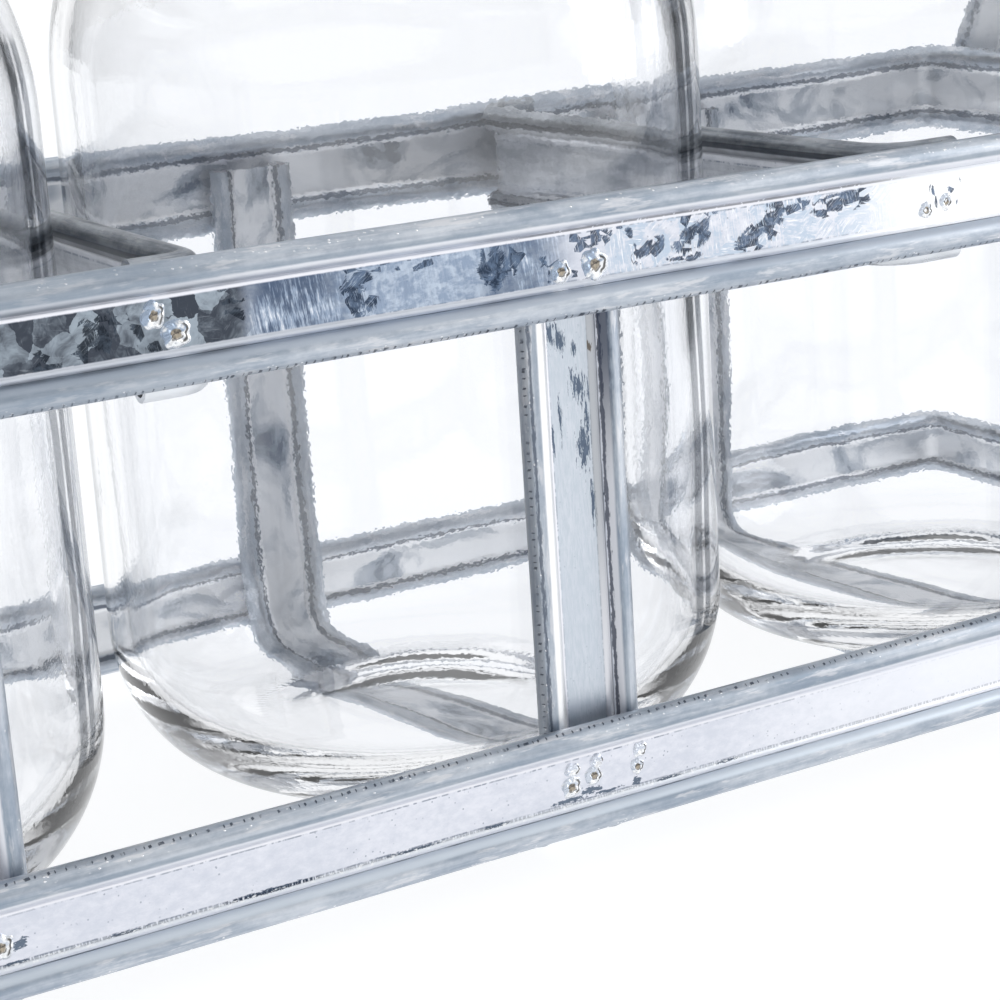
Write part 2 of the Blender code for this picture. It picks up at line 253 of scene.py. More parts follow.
def zinc_material(name, marks=None, nicked=-1, nick_v=0.01128, nick_half=0.0002, dull=0.0,
                  low_curl=CURL_REFLECTION, low_fillet=FILLET_HIGHLIGHT):
    """Galvanised strip; marks(n, colour, at) paints what one piece alone shows over it.

    nicked is the side whose roll carries crimp nicks, nick_v and nick_half say where, and dull is how much
    greyer the piece is. low_curl and low_fillet are the tones beside the web at the lower roll; on the bands
    they are painted shade, darker than the painted reflection and highlight there at the upper roll.
    """
    material = bpy.data.materials.new(name)
    n = Nodes(material)
    u, v, _ = n.split(n.uv)
    spot = n.join(u, v)
    side = n.abs(v)
    front = n.ramp(v, *BACK_ENDS)
    behind = n.math("SUBTRACT", 1.0, front)
    level = n.math("SUBTRACT", v, FRONT_V)
    across = n.abs(level)

    cloud = n.noise(n.scaled(spot, (1.0, 2.2, 1.0)), 42, 3, 0.6)
    fine = n.noise(n.scaled(spot, (1.0, 1.6, 1.0)), 420, 3, 0.7)
    grain = n.noise(spot, 2300, 1, 0.6)
    streak = n.noise(n.scaled(spot, (1.0, 14.0, 1.0)), 60, 3, 0.65, 0.3)

    # Rolled edges: dull blue grey with lighter smears along them, bright specks with a painted glint, a dark
    # stripe of painted shade under the upper roll's crest, and a painted reflection on the inner turn
    tone = n.add(n.mul(cloud, 0.50), n.add(n.mul(streak, 0.36), n.mul(fine, 0.22)))
    roll = n.mix(n.ramp(tone, 0.38, 0.72), (0.315, 0.372, 0.45), (0.655, 0.69, 0.74))
    smear = n.ramp(n.noise(n.scaled(spot, (1.0, 6.0, 1.0), (0.4, 0.0, 0.0)), 80, 4, 0.7), 0.53, 0.63)
    roll = n.mix(n.mul(smear, 0.55), roll, (0.80, 0.80, 0.82))
    # Painted shade: a dark stripe on the upper roll just below its crest, where it turns down towards the web
    stripe = n.mul(n.near(v, 0.01428, 0.0002, 0.0004), n.ramp(cloud, 0.35, 0.6, 0.35, 0.8))
    roll = n.mix(n.mul(stripe, 0.6), roll, (0.19, 0.245, 0.31))
    # Specks are small raised bumps, a little glossier, painted with a bright glint
    speck = n.ramp(n.cells(n.scaled(spot, (1.0, 1.3, 1.0)), 760, "Distance"), 0.10, 0.20, 1.0, 0.0)
    speck = n.mul(speck, n.mul(n.near(side, 0.0120, 0.0005, 0.0006), n.ramp(cloud, 0.38, 0.48)))
    roll = n.mix(speck, roll, GLINT)
    # The inner turn of each curl: a painted reflection of the floor at the upper roll, and at the lower roll
    # the low_curl tone, painted shade on the bands
    turned = n.ramp(side, 0.01455, 0.01500)
    roll = n.mix(n.mul(turned, 0.85), roll, n.mix(n.ramp(v, -0.001, 0.001), low_curl, CURL_REFLECTION))
    if dull:
        dark = n.mix(n.ramp(tone, 0.42, 0.70), (0.045, 0.055, 0.07), (0.40, 0.43, 0.47))
        roll = n.mix(dull, roll, dark)
        # Painted shade: a dark line along each roll of a dull piece, just past its crest where the curl turns
        # in
        roll = n.mix(n.mul(n.near(side, 0.0142, 0.0004, 0.0003), 0.8), roll, (0.03, 0.035, 0.045))

    # The web's back: a light flat, with a painted highlight line and a painted shade line where it steps back
    # to the rolls
    inner = n.ramp(side, 0.0044, 0.0048, 1.0, 0.0)
    patch = n.noise(n.scaled(spot, (1.0, 1.8, 1.0), (0.3, 0.6, 0.0)), 50, 3, 0.6, 0.8)
    web = n.mix(n.ramp(patch, 0.37, 0.54), (0.40, 0.45, 0.52), (0.93, 0.945, 0.97))
    web = n.mix(n.ramp(patch, 0.33, 0.39, 0.85, 0.0), web, (0.13, 0.16, 0.22))
    roll = n.mix(n.mul(inner, 0.9 - 0.5 * dull), roll, web)
    roll = n.mix(n.mul(n.near(side, 0.00445, 0.0002, 0.0003), 0.8), roll, GLINT)
    ragged = n.add(side, n.swing(n.noise(n.scaled(spot, (1.0, 0.4, 1.0)), 700, 2, 0.6), 0.0007))
    roll = n.mix(n.mul(n.near(ragged, 0.00525, 0.00022, 0.00026), 0.75), roll, (0.07, 0.085, 0.12))

    # Flats: pale lavender with fine mottling, pits and a few hairlines across
    flat_tone = n.add(n.mul(cloud, 0.50), n.mul(fine, 0.48))
    flat = n.mix(n.ramp(flat_tone, 0.34, 0.66), (0.665, 0.69, 0.765), (0.83, 0.84, 0.90))
    if dull:
        grey = n.mix(n.ramp(tone, 0.38, 0.70), (0.20, 0.225, 0.255), (0.60, 0.62, 0.65))
        flat = n.mix(dull, flat, grey)
    pit = n.cells(n.scaled(spot, (1.0, 1.0, 1.0), (0.2, 0.1, 0.0)), 900, "Distance")
    pit = n.mul(n.ramp(pit, 0.10, 0.17, 1.0, 0.0), n.ramp(n.noise(spot, 170, 3, 0.7), 0.47, 0.56))
    flat = n.mix(n.mul(pit, 0.55), flat, (0.20, 0.235, 0.31))
    hair = n.cells(n.scaled(spot, (1.0, 0.03, 1.0), (0.6, 0.0, 0.0)), 62, "Distance")
    broken = n.noise(n.scaled(spot, (0.3, 1.0, 1.0)), 260, 2, 0.5)
    hair = n.mul(n.ramp(hair, 0.004, 0.012, 1.0, 0.0), n.ramp(broken, 0.40, 0.54))
    flat = n.mix(n.mul(hair, 0.45), flat, (0.25, 0.28, 0.36))

    # Fillets beside the rolls painted bright as a highlight, in the low_fillet tone at the lower roll, which
    # on the bands is painted shade, with a dull dotted line where each one starts
    fillet = n.ramp(across, FILLET, 0.00385)
    fillet_tone = n.mix(n.ramp(level, -0.001, 0.001), low_fillet, FILLET_HIGHLIGHT)
    flat = n.mix(n.mul(fillet, 0.92 - dull), flat, fillet_tone)
    beads = n.ramp(n.noise(n.scaled(spot, (1.0, 0.4, 1.0)), 900, 2, 0.6), 0.40, 0.56)
    beads = n.mul(beads, n.ramp(cloud, 0.38, 0.62, 0.3, 0.75))
    flat = n.mix(n.mul(n.near(across, 0.00352, 0.00005, 0.00014), beads), flat, (0.16, 0.20, 0.27))
    colour = n.mix(front, roll, flat)
    # Painted shade on the back of each curl's lip, where it tucks in towards the web
    lip = n.mul(n.mul(n.ramp(side, 0.01645, 0.01665), behind), n.ramp(streak, 0.40, 0.60, 0.05, 0.8))
    colour = n.mix(lip, colour, (0.10, 0.13, 0.18))

    # Crimp nicks round the outer side of one rolled edge, 690 to the metre
    wander = n.noise(n.scaled(spot, (1.0, 0.1, 1.0)), 500, 2, 0.5)
    beat = n.math("FRACT", n.add(n.mul(u, 690.0), n.mul(wander, 2.2)))
    slant = n.add(n.mul(v, float(nicked)), n.swing(beat, 0.0008))
    tick = n.mul(n.near(beat, 0.5, 0.08, 0.08), n.near(slant, nick_v, nick_half, 0.00016))
    tick = n.mul(tick, n.ramp(n.noise(spot, 330, 2, 0.5), 0.36, 0.48))
    colour = n.mix(n.mul(tick, 0.85), colour, (0.04, 0.055, 0.085))

    rough = n.add(n.ramp(front, 0.0, 1.0, 0.30, 0.20), n.add(n.mul(cloud, 0.12), n.mul(fine, 0.14)))
    rough = n.add(rough, n.mul(speck, -0.2))
    if marks:
        colour = marks(n, colour, {"v": v, "level": level, "front": front, "fine": fine, "cloud": cloud})
    height = n.add(n.mul(fine, 0.45), n.add(n.mul(streak, 0.40), n.mul(grain, 0.12)))
    height = n.add(height, n.add(n.mul(speck, 0.8), n.mul(tick, -1.0)))
    n.finish(Base_Color=colour, Metallic=0.9, Roughness=rough, IOR=1.6,
             Normal=n.bump(height, 0.00008, 0.8))
    return material


def strokes(n, place, turn, seed, scale=330, thin=7.0):
    """Noise drawn out into fine parallel strokes at an angle."""
    turned = n.scaled(place, (1.0, 1.0, 1.0), (seed, 0.0, 0.0), turn)
    return n.noise(n.scaled(turned, (0.8, thin, 1.0)), scale, 3, 0.75)


def feathered(n, place, seed):
    """Strokes whose direction changes from one crystal to the next, and the crystals' own values."""
    cell = n.cells(n.scaled(n.warped(place, 420, 0.0026), (1.0, 0.8, 1.0), (seed, 0.0, 0.0), 0.5), 260)
    pick, value, _ = n.split(cell)
    upright = strokes(n, place, math.pi / 2 - 0.1, seed)
    slanted = strokes(n, place, -0.75, seed + 0.3)
    level = strokes(n, place, 0.15, seed + 0.6)
    brush = n.mix(n.ramp(pick, 0.30, 0.34), upright, slanted)
    brush = n.mix(n.ramp(pick, 0.66, 0.70), brush, level)
    return n.split(brush)[0], value


# Dark marks on the fronts of the upper band, the lower band and the middle post: x, height, half length, half
# height and turn, in millimetres and degrees; the height is over a band's middle or the ground. On the upper
# band they are smears and also painted dark reflections in the spangle.
UPPER_SMEARS_AND_DARK_REFLECTIONS = (
    (-77.6, -0.6, 2.6, 3.3, 10), (-71.4, 0.8, 3.0, 1.5, -55), (-74.4, 2.9, 2.6, 0.7, 0),
    (-67.6, -3.0, 2.0, 0.9, 0), (-83.5, -2.6, 3.0, 1.4, 10), (-56.8, 2.7, 2.4, 0.9, 5),
    (-56.9, -0.2, 1.5, 1.7, -50), (-37.2, 0.2, 2.9, 4.0, 4), (-33.2, 3.2, 2.8, 0.8, 8),
    (-25.2, 3.4, 3.8, 0.6, 6), (-14.3, 0.8, 1.9, 3.8, 3), (-10.9, 1.8, 1.9, 2.8, 0),
    (-5.0, -0.4, 1.3, 1.8, 0), (3.2, 2.3, 3.4, 1.7, 0), (-0.5, -3.2, 2.0, 0.5, 0), (10.0, 0.5, 1.0, 3.4, 12),
    (13.1, -1.0, 2.7, 1.3, 25), (22.0, 1.2, 4.1, 2.0, 38), (18.9, -3.0, 3.2, 0.8, 5),
    (34.4, -0.9, 5.8, 1.6, 28), (40.3, 2.7, 4.4, 1.0, 3), (45.6, 0.0, 2.6, 0.7, 0), (51.2, 2.4, 6.3, 1.3, 2),
    (70.2, 0.3, 0.35, 1.8, 8), (74.9, 0.5, 0.8, 1.3, 0), (-105.0, 1.0, 3.0, 2.2, 30),
    (-121.0, -0.5, 4.0, 2.0, -20), (-139.0, 1.0, 3.5, 2.4, 25), (112.0, 0.5, 4.0, 1.2, 20),
    (131.0, -1.0, 3.6, 1.5, -25), (149.0, 0.8, 4.5, 1.0, 15))
LOWER_SMEARS = (
    (-6.5, -3.1, 3.6, 0.5, 0), (-2.2, -2.3, 2.4, 0.7, 0), (0.8, -3.2, 3.4, 0.35, 0),
    (6.3, -3.0, 1.0, 0.9, 40), (-59.0, -3.75, 7.5, 0.42, 0), (-82.0, -3.8, 4.0, 0.25, 0),
    (-35.0, -3.8, 7.0, 0.25, 0), (-20.0, -3.75, 3.0, 0.35, 0), (12.5, -3.9, 3.0, 0.3, 0),
    (24.0, -3.9, 3.0, 0.3, 0), (-97.6, -1.0, 1.6, 0.9, 20), (-98.5, -3.6, 2.6, 0.4, 0))
POST_SMEARS = (
    (-3.0, 86.5, 0.8, 3.0, 0), (-1.4, 85.0, 1.2, 2.8, 18), (1.1, 83.2, 0.7, 1.3, 0),
    (1.7, 77.2, 1.7, 3.1, 22), (2.9, 72.4, 0.5, 3.6, 0), (2.1, 67.6, 1.5, 4.8, 0), (-1.9, 72.6, 0.35, 4.4, 0),
    (-3.4, 69.0, 0.3, 3.4, 0), (3.3, 58.0, 0.5, 5.0, 0))


def upper_marks(n, colour, at):
    """Steel-dark angular spangle at the left, brushed strokes with painted white highlights, then navy smears
    and painted dark reflections on a pale right that a painted highlight whitens at its end.
    """
    x, y, z = n.split(n.object)
    height = n.math("SUBTRACT", z, UPPER_BAND_Z)
    place = n.join(x, height)
    photographed = n.ramp(y, *PHOTO_SIDE)
    face = n.mul(at["front"], photographed)
    flat = n.mul(face, n.ramp(n.abs(at["level"]), FILLET, 0.0037, 1.0, 0.0))
    broad = n.noise(n.scaled(place, (1.0, 1.0, 1.0), (0.7, 0.2, 0.0)), 85, 3, 0.6)
    brush, crystal = feathered(n, place, 0.37)
    soft = n.noise(n.scaled(place, (1.0, 1.0, 1.0), (0.1, 0.5, 0.0)), 330, 3, 0.7, 1.2)

    # Steel-dark left end: soft-edged crystals of varied grey
    left = n.mul(n.ramp(x, *STEEL_END, 1.0, 0.0), flat)
    grey = n.add(n.mul(crystal, 0.44), n.add(n.mul(broad, 0.50), n.mul(soft, 0.55)))
    steel = n.mix(n.ramp(grey, 0.56, 0.98), (0.022, 0.032, 0.050), (0.35, 0.41, 0.47))
    steel = n.mix(n.mul(n.ramp(brush, 0.58, 0.70), 0.25), steel, (0.46, 0.51, 0.57))
    colour = n.mix(n.mul(left, 0.95), colour, steel)

    # Brushed middle: upright blue and navy strokes, with white ones painted as highlights, that calm down to
    # the right
    brushed = n.mul(n.mul(n.ramp(x, *STEEL_END), n.ramp(x, -0.008, 0.002, 1.0, 0.0)), flat)
    upright = strokes(n, place, math.pi / 2 - 0.12, 0.9, 300, 6.0)
    patch = n.add(n.mul(upright, 0.9), n.swing(broad, 0.9))
    calm = n.ramp(x, -0.044, -0.036, 0.85, 0.12)
    calm = n.most(calm, n.ramp(x, -0.019, -0.013, 0.0, 0.6))
    blue = n.mix(n.ramp(patch, 0.36, 0.60), (0.055, 0.085, 0.15), (0.42, 0.51, 0.65))
    haze = n.ramp(n.add(n.mul(soft, 0.5), n.mul(at["fine"], 0.5)), 0.42, 0.60)
    haze = n.mix(haze, (0.24, 0.325, 0.46), (0.50, 0.59, 0.71))
    colour = n.mix(n.mul(brushed, 0.85), colour, haze)
    colour = n.mix(n.mul(n.mul(brushed, n.ramp(patch, 0.62, 0.44)), calm), colour, blue)
    flash_highlight = n.mul(n.ramp(patch, 0.54, 0.66), n.mul(brushed, calm))
    colour = n.mix(flash_highlight, colour, (0.90, 0.93, 0.98))

    # Pale right half with bright strokes painted as sheen, whitened at its end by a painted highlight
    pale = n.mul(n.ramp(x, 0.004, 0.008), flat)
    frost = n.add(n.mul(crystal, 0.12), n.add(n.mul(brush, 0.48), n.mul(at["fine"], 0.40)))
    frost = n.ramp(frost, 0.42, 0.56, 0.85, 0.0)
    colour = n.mix(n.mul(pale, frost), colour, (0.52, 0.62, 0.74))
    colour = n.mix(n.mul(pale, n.ramp(brush, 0.56, 0.66)), colour, (0.95, 0.965, 1.0))
    white = n.mul(n.ramp(x, 0.046, 0.068), face)
    colour = n.mix(white, colour, (0.965, 0.975, 1.0))

    # Smears and painted dark reflections broken into angular facets: each crystal reads the patches a little
    # to one side
    jump_x, jump_z, _ = n.split(n.cells(n.scaled(place, (1.0, 1.0, 1.0), (0.21, 0.4, 0.0), 0.4), 430))
    facets = n.join(n.add(x, n.swing(jump_x, 0.0034)), n.add(height, n.swing(jump_z, 0.0030)))
    ragged = n.add(n.inside(facets, UPPER_SMEARS_AND_DARK_REFLECTIONS), n.swing(brush, 1.1))
    dark = n.mul(n.ramp(ragged, 0.05, 0.16), flat)
    scratch = n.mix(n.ramp(jump_x, 0.45, 0.55), strokes(n, place, -0.7, 0.5, 700, 9.0),
                    strokes(n, place, math.pi / 2 - 0.2, 0.8, 700, 9.0))
    dark = n.mul(dark, n.ramp(n.split(scratch)[0], 0.54, 0.64, 1.0, 0.25))
    navy = n.mix(n.ramp(soft, 0.40, 0.62), (0.016, 0.030, 0.060), (0.12, 0.175, 0.27))
    steely = n.mix(n.ramp(soft, 0.40, 0.62), (0.016, 0.022, 0.032), (0.060, 0.078, 0.105))
    navy = n.mix(n.ramp(x, -0.056, -0.050), steely, navy)
    colour = n.mix(n.mul(dark, 0.93), colour, navy)

    # A dotted line on the upper fillet with painted white glints, and painted shade darkening the top edge
    bead = n.ramp(n.cells(place, 1250, "Distance"), 0.16, 0.30, 1.0, 0.0)
    dotted = n.mix(bead, (0.30, 0.29, 0.30), (1.0, 1.0, 1.0))
    dots = n.mul(n.near(at["level"], 0.00425, 0.00016, 0.0001), n.mul(face, n.near(x, 0.026, 0.030, 0.012)))
    colour = n.mix(n.mul(dots, 0.7), colour, dotted)
    top_edge_shade = n.mul(n.near(at["v"], 0.0100, 0.0005, 0.0006), photographed)
    colour = n.mix(n.mul(top_edge_shade, n.ramp(x, -0.030, 0.030, 0.15, 0.6)), colour, (0.13, 0.17, 0.23))

    # Duller rolls towards the left end
    ends = n.mul(n.ramp(x, -0.075, -0.045, 0.45, 0.0), n.ramp(at["front"], 0.0, 1.0, 1.0, 0.0))
    return n.mix(n.mul(ends, photographed), colour, (0.27, 0.32, 0.385))


def lower_marks(n, colour, at):
    """Dark dashes along the flat's lower edge and round the welds, a painted shade line and painted glints
    along that edge, and a right end whitened by a painted highlight.
    """
    x, y, z = n.split(n.object)
    height = n.math("SUBTRACT", z, LOWER_BAND_Z)
    place = n.join(x, height)
    face = n.mul(at["front"], n.ramp(y, *PHOTO_SIDE))
    # Painted highlight whitening the right end of the flat
    colour = n.mix(n.mul(n.ramp(x, 0.010, 0.075), n.mul(face, 0.85)), colour, (0.93, 0.94, 0.985))
    ragged = n.noise(n.scaled(place, (1.0, 2.5, 1.0)), 900, 4, 0.7)
    dark = n.add(n.inside(place, LOWER_SMEARS), n.swing(ragged, 3.2))
    dark = n.mul(n.ramp(dark, 0.18, 0.34), face)
    navy = n.mix(at["fine"], (0.02, 0.035, 0.065), (0.15, 0.21, 0.29))
    colour = n.mix(n.mul(dark, 0.92), colour, navy)
    # Painted shade: a toothed dark line where the flat meets the lower roll
    teeth = n.ramp(n.noise(n.scaled(place, (1.0, 0.2, 1.0)), 2600, 1, 0.5), 0.40, 0.52)
    strength = n.most(n.near(x, -0.0585, 0.0060, 0.0040), n.ramp(x, -0.090, 0.030, 0.45, 0.30))
    line = n.mul(n.near(at["level"], -0.00372, 0.00014, 0.00020), n.mul(teeth, strength))
    colour = n.mix(n.mul(line, face), colour, (0.03, 0.045, 0.08))
    # Painted glints along the flat's lower edge
    sparkle_glint = n.mul(n.near(at["level"], -0.0040, 0.0001, 0.0003), n.ramp(ragged, 0.53, 0.60))
    return n.mix(n.mul(sparkle_glint, face), colour, (0.95, 0.97, 1.0))


def tab_marks(n, colour, at):
    """Lighter tabs low down, where a divider turns along the upper band's front and back."""
    _, y, z = n.split(n.object)
    tab = n.mul(n.ramp(n.abs(y), 0.0535, 0.0565), n.ramp(at["cloud"], 0.30, 0.60, 0.5, 0.95))
    tab = n.mul(tab, n.ramp(z, UPPER_BAND_TOP - 0.0150, UPPER_BAND_TOP - 0.0110, 1.0, 0.0))
    return n.mix(tab, colour, (0.86, 0.885, 0.92))


def leg_marks(n, colour, at):
    """A pale speckled leg."""
    pale = n.ramp(n.add(n.mul(at["fine"], 0.6), n.mul(at["cloud"], 0.5)), 0.46, 0.62, 0.25, 0.85)
    return n.mix(pale, colour, (0.90, 0.925, 0.96))


def post_marks(n, colour, at):
    """Navy scratch patches down the middle post, a painted white highlight stripe on its left roll, and
    painted shade: a dark right stripe and line, a dark left line, a greyed right fillet and a shaded band on
    the left roll.
    """
    x, y, z = n.split(n.object)
    place = n.join(n.math("SUBTRACT", x, STRAP_XS[1]), z)
    post = n.ramp(y, *PHOTO_SIDE)
    face = n.mul(at["front"], post)
    brush = strokes(n, place, math.pi / 2, 0.2, 420, 6.0)
    flat = n.mul(face, n.ramp(n.abs(at["level"]), 0.0034, 0.0037, 1.0, 0.0))
    colour = n.mix(n.mul(flat, n.ramp(brush, 0.36, 0.60, 0.95, 0.55)), colour, (0.56, 0.62, 0.68))
    ragged = n.add(n.inside(place, POST_SMEARS), n.swing(brush, 4.2))
    dark = n.mul(n.ramp(ragged, 0.26, 0.44), face)
    navy = n.mix(at["fine"], (0.02, 0.035, 0.07), (0.15, 0.21, 0.30))
    colour = n.mix(n.mul(dark, 0.92), colour, navy)
    # Painted shade greying the right fillet, more so higher up
    groove_shade = n.mul(n.ramp(at["level"], 0.0034, 0.0036), n.mul(face, n.ramp(z, 0.030, 0.060, 0.3, 0.75)))
    colour = n.mix(groove_shade, colour, (0.36, 0.385, 0.41))
    # Painted shade: a dark stripe and an edge line along the right roll, the stripe fading lower down, and a
    # dark line on the left roll
    fade = n.ramp(z, 0.060, 0.085, 0.35, 1.0)
    edge = n.add(at["v"], n.swing(brush, 0.0014))
    right = n.mul(n.mul(n.near(edge, 0.0153, 0.0005, 0.0009), post), fade)
    colour = n.mix(n.mul(right, 0.88), colour, (0.03, 0.045, 0.08))
    line = n.mul(n.near(edge, 0.0161, 0.00022, 0.0002), post)
    colour = n.mix(n.mul(line, 0.8), colour, (0.02, 0.03, 0.06))
    left = n.mul(n.near(edge, -0.0124, 0.00012, 0.0003), post)
    colour = n.mix(n.mul(left, 0.75), colour, (0.06, 0.08, 0.12))
    # A painted white highlight stripe on the left roll's inner turn
    rolled = n.mul(post, n.math("SUBTRACT", 1.0, at["front"]))
    colour = n.mix(n.mul(n.near(at["v"], -0.0150, 0.0011, 0.0004), rolled), colour, (1.0, 1.0, 1.0))
    shade = n.mul(n.ramp(at["v"], -0.0122, -0.0118), n.mul(post, n.ramp(at["v"], -0.0048, -0.0060)))
    colour = n.mix(n.mul(shade, 0.45), colour, (0.16, 0.17, 0.19))
    rust = n.inside(place, ((3.9, 83.3, 0.45, 0.9, 12),))
    rust = n.ramp(n.add(rust, n.swing(brush, 3.0)), 0.15, 0.50, 0.0, 0.85)
    return n.mix(n.mul(rust, face), colour, (0.10, 0.075, 0.05))


def weld_material(name, pit_size, cool):
    """A smooth bead, painted bright as a highlight at noise peaks and towards its lower right over cool
    patches, with a scorched pit, black crust on one side and a thin outline.
    """
    material = bpy.data.materials.new(name)
    n = Nodes(material)
    x, y, _ = n.split(n.uv)
    radius = n.math("SQRT", n.add(n.mul(x, x), n.mul(y, y)))
    ragged = n.noise(n.object, 1300, 4, 0.7)
    coarse = n.noise(n.object, 480, 3, 0.6)
    edge = n.add(radius, n.add(n.swing(ragged, 0.16), n.swing(coarse, 0.30)))
    # Painted highlight: the bead is whiter at noise peaks and towards its lower right
    lit = n.add(n.mul(coarse, 0.8), n.mul(n.math("SUBTRACT", x, y), 0.10))
    colour = n.mix(n.ramp(lit, 0.33, 0.43), cool, (0.965, 0.975, 0.99))
    outline = n.mul(n.near(edge, 0.90, 0.015, 0.04), n.ramp(ragged, 0.46, 0.58))
    colour = n.mix(n.mul(outline, 0.5), colour, (0.16, 0.18, 0.22))
    crust = n.mul(n.near(edge, 0.70, 0.05, 0.08), n.ramp(n.add(x, n.mul(coarse, 0.9)), 0.80, 1.0))
    colour = n.mix(n.mul(crust, 0.9), colour, (0.05, 0.045, 0.04))
    if pit_size:
        hole = n.add(radius, n.swing(ragged, 0.14))
        rim = n.mul(n.near(hole, pit_size + 0.07, 0.02, 0.05), n.ramp(coarse, 0.48, 0.56))
        colour = n.mix(n.mul(rim, 0.8), colour, (0.05, 0.04, 0.03))
        pit = n.ramp(hole, pit_size - 0.03, pit_size + 0.08, 1.0, 0.0)
        scorch = n.mix(n.ramp(ragged, 0.38, 0.64), (0.06, 0.045, 0.03), (0.46, 0.39, 0.29))
        colour = n.mix(n.mul(pit, 0.92), colour, scorch)
    height = n.noise(n.object, 1000, 2, 0.6)
    n.finish(Base_Color=colour, Metallic=0.6, Roughness=n.ramp(ragged, 0.35, 0.65, 0.20, 0.40),
             Normal=n.bump(height, 0.00008, 0.3))
    return material


def glass_material():
    """Clear pressed glass, a little wavy, with dark lines along its edges and a knurled bearing ring.

    The dark lines, and the dark tint where the glass is seen edge-on, are painted shade for the dark
    surroundings seen through the walls; the lines are darker towards +X. The knurling has 110 ridges.
    """
    material = bpy.data.materials.new("jar_glass")
    n = Nodes(material)
    x, y, z = n.split(n.object)
    wave = n.noise(n.object, 42, 2, 0.5, 0.3)
    ripple = n.noise(n.scaled(n.object, (1.0, 1.0, 0.6)), 420, 2, 0.5)
    radius = n.math("SQRT", n.add(n.mul(x, x), n.mul(y, y)))
    knurl = n.math("SINE", n.mul(n.math("ARCTAN2", y, x), 110.0))
    knurl = n.mul(knurl, n.near(radius, 0.0300, 0.0007, 0.0004))
    knurl = n.mul(knurl, n.ramp(z, 0.0012, 0.0018, 1.0, 0.0))
    grit = n.noise(n.object, 1150, 1, 0.5)
    height = n.add(n.add(wave, n.add(n.mul(ripple, 0.060), n.mul(grit, 0.048))), n.mul(knurl, 0.08))
    # Painted shade: dark lines and a dark tint where the glass is seen edge-on, darker towards +X
    facing = n.new("ShaderNodeLayerWeight").outputs["Facing"]
    drift = n.add(facing, n.swing(n.noise(n.object, 26, 1, 0.5), 0.10))
    line = n.most(n.near(drift, 0.750, 0.021, 0.014), n.mul(n.near(drift, 0.675, 0.022, 0.014), 0.95))
    line = n.mul(line, n.mul(n.ramp(radius, 0.0524, 0.0530), n.ramp(x, -0.030, 0.025, 0.12, 1.0)))
    tint = n.mix(n.ramp(facing, 0.80, 0.90), (0.982, 0.986, 0.996), (0.17, 0.185, 0.20))
    tint = n.mix(n.mul(line, 0.95), tint, (0.025, 0.035, 0.050))
    n.finish(Base_Color=tint, Roughness=0.0, IOR=1.5, Transmission_Weight=1.0,
             Normal=n.bump(height, 0.0004, 0.25))
    return material


# Strip geometry

def rounded_path(corners, radius=0.0, steps=1):
    """Points along a path with rounded corners, with a point at least every PATH_STEP."""
    corners = [Vector(corner) for corner in corners]
    points = [corners[0]]
    for before, corner, after in zip(corners, corners[1:], corners[2:]):
        arriving = (corner - before).normalized()
        turn = arriving.angle_signed(after - corner)
        inward = Vector((arriving.y, -arriving.x)) * math.copysign(1, turn)
        reach = radius * math.tan(abs(turn) / 2)
        for index in range(steps + 1):
            part = abs(turn) * index / steps
            points.append(corner + arriving * (radius * math.sin(part) - reach)
                          + inward * (radius * (1 - math.cos(part))))
    points.append(corners[-1])
    dense = [points[0]]
    for start, end in zip(points, points[1:]):
        count = max(1, math.ceil((end - start).length / PATH_STEP))
        dense += [start.lerp(end, index / count) for index in range(1, count + 1)]
    return dense


def bend(start, control, end, count):
    """Points of a quadratic curve after its start."""
    points = []
    for index in range(1, count + 1):
        t = index / count
        points.append(tuple(a * (1 - t) ** 2 + 2 * b * t * (1 - t) + c * t * t
                            for a, b, c in zip(start, control, end)))
    return points


def strip_section(width):
    """Closed outline of the strip as (out, across, v): a web between two rolled edges.

    v follows the back and the rolls, and is near FRONT_V on the web's front and inside the curls. A curl
    runs from first to last degrees and back inside to hidden, and a small fillet joins it to the web's front.
    """
    centre = width / 2 - ROLL_DIAMETER / 2
    squeeze = ROLL_V / centre
    step_reach, fillet_reach = 0.00305, 0.0032
    first, last, hidden = -30, 255, -97
    outer = ROLL_R + SKIN
    inner = ROLL_R - SKIN
    back = WEB_INSET - SKIN
    face = WEB_INSET + SKIN

    def ring(radius, degrees):
        turn = math.radians(degrees)
        return ROLL_R - radius * math.cos(turn), centre + radius * math.sin(turn)

    def level(spot):
        return (*spot, FRONT_V + min(spot[1], centre) * squeeze)

    step = centre - step_reach
    start = ROLL_V - step_reach
    half = [(back, step * k / 3, step * squeeze * k / 3) for k in range(1, 4)]
    rise = bend((back, step), (back, step + 0.0004), (back - 0.00018, step + 0.00071), 3)
    rise += bend(rise[-1], (0.0002, centre - 0.0016), ring(outer, first), 3)
    for index, spot in enumerate(rise, 1):
        half.append((*spot, start + (ROLL_V + outer * math.radians(first) - start) * index / len(rise)))
    for index in range(1, 25):
        degrees = first + (last - first) * index / 24
        half.append((*ring(outer, degrees), ROLL_V + outer * math.radians(degrees)))
    for index in range(15):
        half.append(level(ring(inner, last - (last - hidden) * index / 14)))
    lip = ring(outer, last + 2)
    half.append(level(lip))
    edge = centre - fillet_reach
    for spot in bend(lip, (face, centre - 0.0025), (face, edge), 5):
        half.append(level(spot))
    half += [level((face, edge * (1 - k / 4))) for k in range(1, 4)]
    mirrored = []
    for out, across, v in reversed(half):
        mirrored.append((out, -across, 2 * FRONT_V - v if v > BACK_ENDS[0] else -v))
    return [(back, 0.0, 0.0)] + half + [(face, 0.0, FRONT_V)] + mirrored


